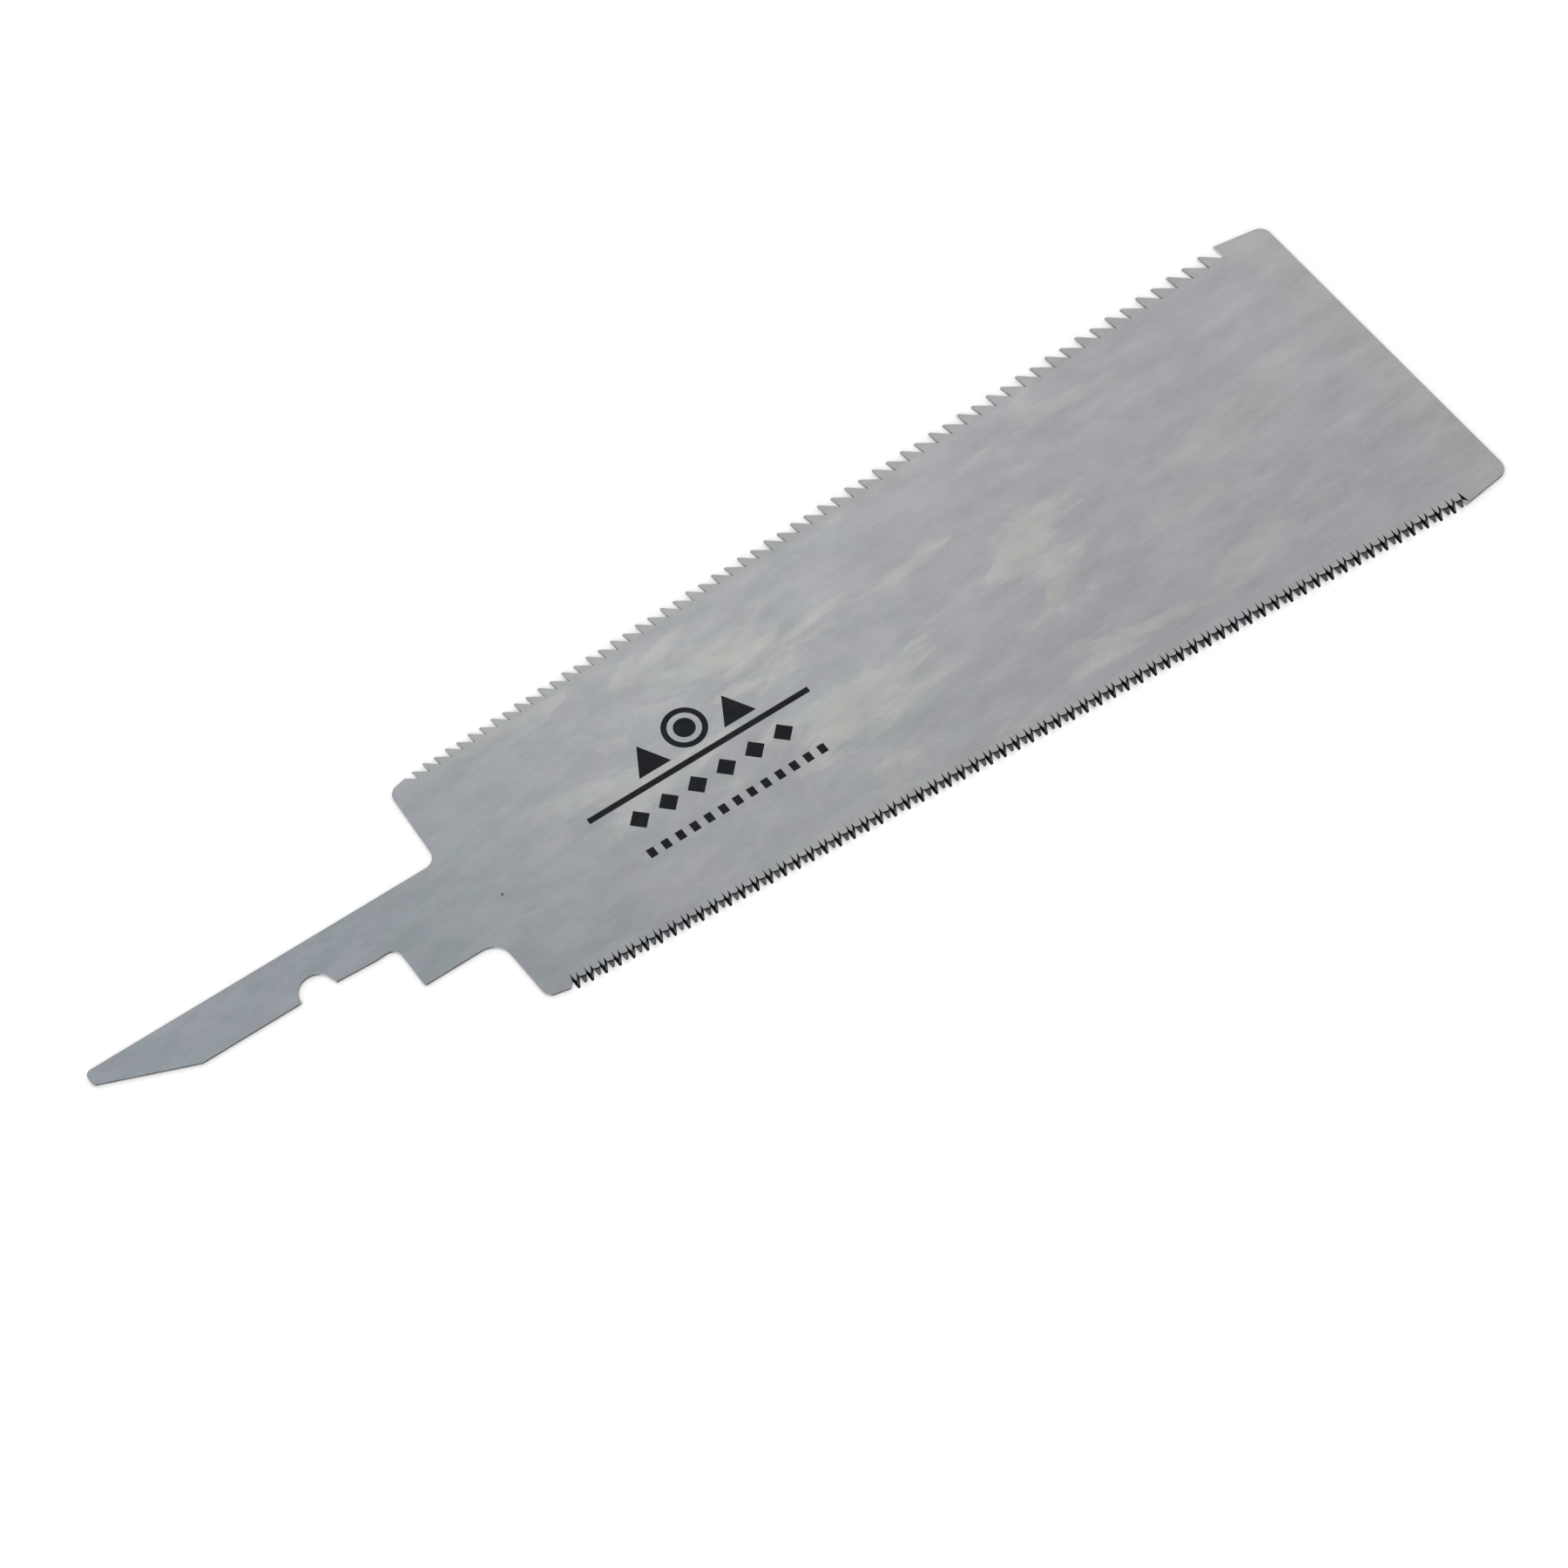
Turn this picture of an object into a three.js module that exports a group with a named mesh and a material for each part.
// Spare blade for a ryoba, the Japanese double-edged pull saw: one stamped and ground
// steel plate with rip teeth on one long edge and crosscut teeth on the other.
// X runs from the tang to the toe, +Y is the rip side and Z is the plate's thickness.
import * as THREE from 'three';

const degrees = THREE.MathUtils.degToRad;

// Driving dimensions in millimetres. Outline places are measured from the tang's end (x)
// and from the centre line of the neck (y).
const bladeLength = 350;
const plateThickness = 0.5;

const tangTop = 12.5;
const tangWidth = 12.9;
const tangEndHeight = 3.7;
const tangEndTopRadius = 1.5;
const tangEndLowRadius = 0.9;
const tangTaperEnd = 21.9;

const notch = { x: 51.3, y: -0.15, radius: 4.4, wallAngle: degrees(35), mouthEnd: 55.85 };
const relief = { x: 65.6, y: -0.95 };
const hookX = 70.9;
const hookRoot = { y: -0.7, radius: 2.4 };
const hookTipRadius = 0.5;

const neckBottom = -12.45;
const shoulderX = 90.07;
const shoulderFilletRadius = 3.2;
const neckFilletRadius = 4.6;

const heelUpper = { x: 91.06, y: 33.88, radius: 2.9 };
const heelLower = { x: 90.8, y: -30.45, radius: 2.3 };
const toeUpper = { y: 45.71, radius: 2.9 };
const toeLower = { y: -45.18, radius: 3.4 };

// Where the chamfers beside the teeth end, and how steeply they run.
const ripHeelEnd = { x: 95.95, slope: Math.tan(degrees(12.5)) };
const ripToeEnd = { x: 336.05, slope: Math.tan(degrees(8.6)) };
const crosscutHeelEnd = { x: 96.2, slope: Math.tan(degrees(12.3)) };
const crosscutToeEnd = { x: 335.5, slope: Math.tan(degrees(7.2)), groundTo: 336.7 };

// A toothed edge: its line of tips, and the places in one tooth. Those are given along the
// edge over the pitch, and outwards from the gullet over the depth.
const rip = {
  heel: new THREE.Vector2(98.4, 35.6),
  toe: new THREE.Vector2(336.3, 47.5),
  outwards: 1,
  teeth: 60,
  pitchGrowth: 1.65,
  depthPerPitch: 0.83,
  set: 0.25,
  tip: [-0.085, 1],
  land: [0.03, 0.99],
  bend: 0.24,
};
const crosscut = {
  heel: new THREE.Vector2(97.4, -32.4),
  toe: new THREE.Vector2(335.6, -47.45),
  outwards: -1,
  teeth: 130,
  pitchGrowth: 1.12,
  depthPerPitch: 1.32,
  set: 0.25,
  tipFront: [0.1, 1],
  tipBack: [0.42, 0.96],
  ridgeEnd: [0.28, 0.8],
  tongue: [[0.24, 0.02], [0.37, 0.3], [0.66, 0.05]],
  grooveFront: [0.1, -0.72],
  grooveBack: [0.92, -0.56],
  ridgeEndDepth: 0.16,
};

const arcStep = degrees(9);
const front = plateThickness / 2;
const back = -front;

// A closed surface collected triangle by triangle, each seen anticlockwise from outside.
class Surface {
  positions = [];

  triangle(...corners) {
    for (const corner of corners) this.positions.push(corner.x, corner.y, corner.z);
  }

  quad(a, b, c, d) {
    this.triangle(a, b, c);
    this.triangle(a, c, d);
  }

  geometry() {
    const geometry = new THREE.BufferGeometry();
    geometry.setAttribute('position', new THREE.Float32BufferAttribute(this.positions, 3));
    geometry.computeVertexNormals();
    return geometry;
  }
}

const surface = new Surface();
const frontLoop = [];
const backLoop = [];

const lift = (point, z) => new THREE.Vector3(point.x, point.y, z);

function addToLoops(...points) {
  frontLoop.push(...points);
  backLoop.push(...points);
}

// A wall from a to b where the outline is the same on both faces.
function wall(a, b) {
  surface.quad(lift(a, front), lift(a, back), lift(b, back), lift(b, front));
}

function walls(points) {
  points.slice(1).forEach((point, i) => wall(points[i], point));
}

// The arc that rounds a corner between its two neighbours.
function roundedCorner(before, corner, after, radius) {
  const toBefore = before.clone().sub(corner).normalize();
  const toAfter = after.clone().sub(corner).normalize();
  const halfAngle = Math.acos(toBefore.dot(toAfter)) / 2;
  const bisector = toBefore.clone().add(toAfter).normalize();
  const centre = corner.clone().addScaledVector(bisector, radius / Math.sin(halfAngle));
  const reach = radius / Math.tan(halfAngle);
  const start = corner.clone().addScaledVector(toBefore, reach).sub(centre);
  const end = corner.clone().addScaledVector(toAfter, reach).sub(centre);
  const turn = Math.atan2(start.cross(end), start.dot(end));
  const steps = Math.max(3, Math.ceil(Math.abs(turn) / arcStep));
  return Array.from({ length: steps + 1 }, (_, i) =>
    start.clone().rotateAround(new THREE.Vector2(), (turn * i) / steps).add(centre),
  );
}

// An open line through [x, y] or [x, y, radius] corners, with the arcs drawn in.
function roundedLine(corners) {
  const places = corners.map(([x, y]) => new THREE.Vector2(x, y));
  return corners.flatMap(([, , radius], i) =>
    radius ? roundedCorner(places[i - 1], places[i], places[i + 1], radius) : [places[i]],
  );
}

// The notch in the tang's lower edge: an arc over the top, then a straight wall.
function notchLine(edgeY) {
  const mouthAngle = Math.PI - Math.asin((edgeY - notch.y) / notch.radius);
  const steps = Math.ceil((mouthAngle - notch.wallAngle) / arcStep);
  const arc = Array.from({ length: steps + 1 }, (_, i) => {
    const angle = THREE.MathUtils.lerp(mouthAngle, notch.wallAngle, i / steps);
    return [
      notch.x + notch.radius * Math.cos(angle),
      notch.y + notch.radius * Math.sin(angle),
    ];
  });
  return [...arc, [notch.mouthEnd, edgeY]];
}

// From the rip side's heel round the tang and the neck to the crosscut side's heel.
function heelAndTang(ripCorner, crosscutCorner) {
  const tangBottom = tangTop - tangWidth;
  return roundedLine([
    ripCorner,
    [heelUpper.x, heelUpper.y, heelUpper.radius],
    [shoulderX, tangTop, shoulderFilletRadius],
    [0, tangTop, tangEndTopRadius],
    [0, tangTop - tangEndHeight, tangEndLowRadius],
    [tangTaperEnd, tangBottom],
    ...notchLine(tangBottom),
    [relief.x, relief.y],
    [hookX, hookRoot.y, hookRoot.radius],
    [hookX, neckBottom, hookTipRadius],
    [shoulderX, neckBottom, neckFilletRadius],
    [heelLower.x, heelLower.y, heelLower.radius],
    crosscutCorner,
  ]);
}

function toeEnd(crosscutCorner, ripCorner) {
  return roundedLine([
    crosscutCorner,
    [bladeLength, toeLower.y, toeLower.radius],
    [bladeLength, toeUpper.y, toeUpper.radius],
    ripCorner,
  ]);
}

// The teeth of an edge, each with its pitch and a function that turns places into points.
// The pitch grows steadily from heel to toe, and the depth of the gullets with it.
function toothedEdge(edge) {
  const { heel, toe, teeth, outwards, pitchGrowth, depthPerPitch } = edge;
  const along = toe.clone().sub(heel).normalize();
  const out = new THREE.Vector2(-along.y, along.x).multiplyScalar(outwards);
  const ratio = pitchGrowth ** (1 / (teeth - 1));
  const firstPitch = (heel.distanceTo(toe) * (ratio - 1)) / (ratio ** teeth - 1);
  const distance = (i) => (firstPitch * (ratio ** i - 1)) / (ratio - 1);
  const depth = (i) => depthPerPitch * firstPitch * ratio ** i;
  const at = (s, height) => heel.clone().addScaledVector(along, s).addScaledVector(out, height);
  const gullets = Array.from({ length: teeth + 1 }, (_, i) => at(distance(i), -depth(i)));
  const toothPlace = (i) => ([alongPitch, overDepth]) => {
    const s = THREE.MathUtils.lerp(distance(i), distance(i + 1), alongPitch);
    const gulletDepth = depth(i + alongPitch);
    return at(s, (overDepth - 1) * gulletDepth);
  };
  return { gullets, toothPlace };
}

// Teeth lean out of the plate by turns, the first one towards the back face.
const setSign = (toothIndex) => (toothIndex % 2 === 0 ? -1 : 1);

// One rip tooth, filed square, bent along a line from its gullet to low on its back.
function ripTooth(place, frontGullet, backGullet, sign) {
  const shift = sign * rip.set;
  const tip = place(rip.tip);
  const land = place(rip.land);
  const bend = backGullet.clone().lerp(land, rip.bend);
  const outline = [
    [bend, 0],
    [land, shift],
    [tip, shift],
    [frontGullet, 0],
  ];
  const ends = outline.map(([point, z]) => [lift(point, front + z), lift(point, back + z)]);
  ends.slice(1).forEach(([upper, lower], i) => {
    const [upperBefore, lowerBefore] = ends[i];
    surface.quad(upperBefore, lowerBefore, lower, upper);
  });
  surface.quad(...ends.map(([upper]) => upper));
  surface.quad(...ends.map(([, lower]) => lower).reverse());
  wall(backGullet, bend);
  return bend;
}

function ripEdge() {
  const { gullets, toothPlace } = toothedEdge(rip);
  for (let i = rip.teeth - 1; i >= 0; i -= 1) {
    addToLoops(gullets[i + 1], ripTooth(toothPlace(i), gullets[i], gullets[i + 1], setSign(i)));
  }
  addToLoops(gullets[0]);
  return gullets;
}

// The side of a ground groove that lies away from its tooth: a triangle square to the plate.
function grooveSide(gullet, groove, faceZ, grooveFirst) {
  const near = lift(gullet, faceZ);
  const far = lift(gullet, -faceZ);
  const corners = [lift(groove, faceZ), near, far];
  if (grooveFirst === faceZ > 0) corners.reverse();
  surface.triangle(...corners);
}

// One crosscut tooth. Both flanks are ground from its inner face, where only a tongue of
// plate is left and a groove runs up beside each flank. The outer face keeps its width,
// and the tooth is bent towards it. The tip has a third small facet.
function crosscutTooth(place, frontGullet, backGullet, sign) {
  const inner = -sign * front;
  const outer = sign * front;
  const tipZ = outer + sign * crosscut.set;
  const ridgeZ = outer + sign * (crosscut.set * crosscut.ridgeEnd[1] - crosscut.ridgeEndDepth);
  const grooveFront = place(crosscut.grooveFront);
  const grooveBack = place(crosscut.grooveBack);
  const tonguePoints = crosscut.tongue.map(place);
  const rootFront = lift(frontGullet, outer);
  const rootBack = lift(backGullet, outer);
  const [tongueHeel, tongueEnd, tongueToe] = tonguePoints.map((point) => lift(point, inner));
  const tipFront = lift(place(crosscut.tipFront), tipZ);
  const tipBack = lift(place(crosscut.tipBack), tipZ);
  const ridgeEnd = lift(place(crosscut.ridgeEnd), ridgeZ);
  const facets = [
    [lift(grooveFront, inner), rootFront, tongueHeel],
    [tongueHeel, rootFront, tipFront],
    [tongueHeel, tipFront, ridgeEnd],
    [tongueHeel, ridgeEnd, tongueEnd],
    [tongueEnd, ridgeEnd, tongueToe],
    [tongueToe, ridgeEnd, tipBack],
    [tongueToe, tipBack, rootBack],
    [tongueToe, rootBack, lift(grooveBack, inner)],
    [ridgeEnd, tipFront, tipBack],
    [rootFront, rootBack, tipBack],
    [rootFront, tipBack, tipFront],
  ];
  for (const facet of facets) surface.triangle(...(sign < 0 ? facet : facet.reverse()));
  grooveSide(frontGullet, grooveFront, inner, false);
  grooveSide(backGullet, grooveBack, inner, true);
  return [grooveFront, ...tonguePoints, grooveBack];
}

function crosscutEdge() {
  const { gullets, toothPlace } = toothedEdge(crosscut);
  for (let i = 0; i < crosscut.teeth; i += 1) {
    const sign = setSign(i);
    addToLoops(gullets[i]);
    const innerLoop = sign < 0 ? frontLoop : backLoop;
    innerLoop.push(...crosscutTooth(toothPlace(i), gullets[i], gullets[i + 1], sign));
  }
  addToLoops(gullets[crosscut.teeth]);
  return { gullets, nextGroove: toothPlace(crosscut.teeth)(crosscut.grooveFront) };
}

// The corner after the last crosscut tooth is ground like the front of one more tooth.
function groundToeCorner(gullet, groove, corner, groundTo, next) {
  const facetEnd = lift(groundTo, front);
  const cornerBack = lift(corner, back);
  const gulletBack = lift(gullet, back);
  surface.triangle(lift(groove, front), gulletBack, facetEnd);
  surface.triangle(facetEnd, gulletBack, cornerBack);
  surface.quad(facetEnd, cornerBack, lift(next, back), lift(next, front));
  grooveSide(gullet, groove, front, false);
  frontLoop.push(groove, groundTo);
  backLoop.push(corner);
}

function face(loop, z, flipped) {
  for (const indices of THREE.ShapeUtils.triangulateShape(loop, [])) {
    const corners = indices.map((index) => lift(loop[index], z));
    surface.triangle(...(flipped ? corners.reverse() : corners));
  }
}

function bladeGeometry() {
  const onChamfer = (corner, end, x, side) =>
    new THREE.Vector2(x, corner.y + side * end.slope * Math.abs(x - corner.x));
  const toeLowerCorner = { x: bladeLength, y: toeLower.y };
  const toeUpperCorner = { x: bladeLength, y: toeUpper.y };
  const ripHeel = onChamfer(heelUpper, ripHeelEnd, ripHeelEnd.x, 1);
  const ripToe = onChamfer(toeUpperCorner, ripToeEnd, ripToeEnd.x, 1);
  const crosscutHeel = onChamfer(heelLower, crosscutHeelEnd, crosscutHeelEnd.x, -1);
  const crosscutToe = onChamfer(toeLowerCorner, crosscutToeEnd, crosscutToeEnd.x, -1);
  const groundTo = onChamfer(toeLowerCorner, crosscutToeEnd, crosscutToeEnd.groundTo, -1);

  const heelPoints = heelAndTang(ripHeel.toArray(), crosscutHeel.toArray());
  const toePoints = toeEnd(crosscutToe.toArray(), ripToe.toArray());

  walls(heelPoints);
  addToLoops(...heelPoints);
  const { gullets: crosscutGullets, nextGroove } = crosscutEdge();
  wall(crosscutHeel, crosscutGullets[0]);
  groundToeCorner(crosscutGullets.at(-1), nextGroove, crosscutToe, groundTo, toePoints[1]);
  walls(toePoints.slice(1));
  addToLoops(...toePoints.slice(1));
  const ripGullets = ripEdge();
  wall(ripToe, ripGullets.at(-1));
  wall(ripGullets[0], ripHeel);

  face(frontLoop, front, false);
  face(backLoop, back, true);

  const geometry = surface.geometry();
  // The origin is the middle of the blade's outline, on the surface that its teeth rest on.
  geometry.computeBoundingBox();
  const middle = geometry.boundingBox.getCenter(new THREE.Vector3());
  geometry.translate(-middle.x, -middle.y, -geometry.boundingBox.min.z);
  return geometry;
}

const steel = new THREE.MeshStandardMaterial({ color: 0x9b9da0, roughness: 0.38, metalness: 1 });

const blade = new THREE.Mesh(bladeGeometry(), steel);
blade.name = 'saw_blade';

const saw = new THREE.Group();
saw.add(blade);

export default saw;
